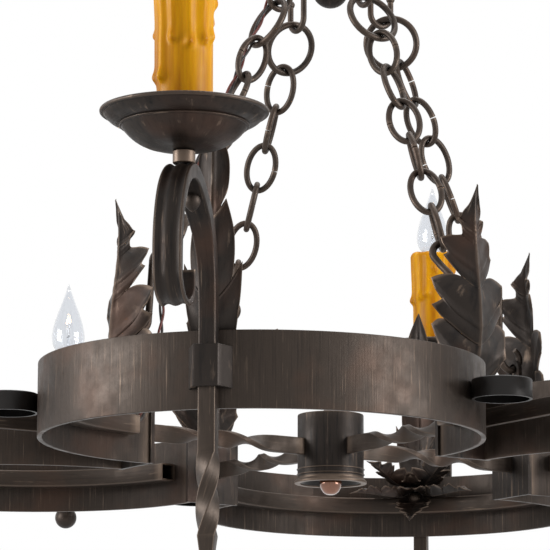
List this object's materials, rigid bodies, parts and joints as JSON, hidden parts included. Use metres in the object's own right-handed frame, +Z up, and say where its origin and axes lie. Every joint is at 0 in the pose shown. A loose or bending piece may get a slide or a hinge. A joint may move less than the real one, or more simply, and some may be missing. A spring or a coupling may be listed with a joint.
{
  "type": "wagon wheel chandelier",
  "caption": "Forged ring chandelier hung on chains from a canopy: ring bands round a central downlight, scroll arms with candle lights, leaves and drip dishes.",
  "frame": {"origin": "centre of the canopy's rim, in the ceiling's plane", "axes": "+Z up towards the ceiling; -Y towards the front ring, +X towards the right ring"},
  "size_m": [1.565, 1.565, 1.0613],
  "materials": {
    "bronze": "dark brushed bronze, satin",
    "zinc": "zinc plated",
    "wax_sleeve": "amber cast wax look, satin",
    "socket_white": "matte",
    "reflector_white": "gloss white",
    "bulb_glass": "clear glass",
    "wire_cover": "satin",
    "cup_dark": "matte"
  },
  "bodies": {
    "ceiling_canopy": {"canopy": "bronze", "mounting_strap": "zinc", "strap_nut": "zinc", "canopy_collar": "bronze", "canopy_loop": "bronze"},
    "upper_link": {"main_link_1": "bronze"},
    "middle_link": {"main_link_2": "bronze"},
    "lower_link": {"main_link_3": "bronze"},
    "fixture": {"crown_loop": "bronze", "crown_post": "bronze", "crown_hooks": "bronze", "crown_ball": "bronze", "chain_front_right": "bronze", "chain_back_right": "bronze", "chain_back_left": "bronze", "chain_front_left": "bronze", "s_hooks": "bronze", "hanger_plates": "bronze", "supply_wires": "wire_cover", "band_front": "bronze", "band_right": "bronze", "band_back": "bronze", "band_left": "bronze", "tube_front": "bronze", "tube_right": "bronze", "tube_back": "bronze", "tube_left": "bronze", "junction_plates": "bronze", "spoke_front_right": "bronze", "spoke_back_right": "bronze", "spoke_back_left": "bronze", "spoke_front_left": "bronze", "arm_front": "bronze", "arm_right": "bronze", "arm_back": "bronze", "arm_left": "bronze", "arm_clips": "bronze", "arm_buds": "bronze", "junction_leaves": "bronze", "arm_leaves": "bronze", "rosettes": "bronze", "high_dishes": "bronze", "low_dishes": "bronze", "high_sleeves": "wax_sleeve", "low_sleeves": "wax_sleeve", "candle_nipples": "bronze", "candle_sockets": "socket_white", "flame_bulbs": "bulb_glass", "ball_finials": "bronze", "side_cups": "bronze", "side_cup_lenses": "cup_dark", "hub_housing": "bronze", "hub_cap": "bronze", "hub_flange": "bronze", "hub_reflector": "reflector_white", "hub_socket": "socket_white", "hub_bulb": "bulb_glass"}
  },
  "joints": [
    {"name": "upper_link_swing", "type": "hinge", "parent": "ceiling_canopy", "child": "upper_link", "pos_m": [0, 0, -0.068], "axis": [1, 0, 0], "range_deg": [-10, 10]},
    {"name": "middle_link_sway", "type": "hinge", "parent": "upper_link", "child": "middle_link", "pos_m": [0, 0, -0.1157], "axis": [0, 1, 0], "range_deg": [-10, 10]},
    {"name": "lower_link_swing", "type": "hinge", "parent": "middle_link", "child": "lower_link", "pos_m": [0, 0, -0.1634], "axis": [1, 0, 0], "range_deg": [-10, 10]},
    {"name": "fixture_sway", "type": "hinge", "parent": "lower_link", "child": "fixture", "pos_m": [0, 0, -0.2111], "axis": [0, 1, 0], "range_deg": [-10, 10]}
  ]
}
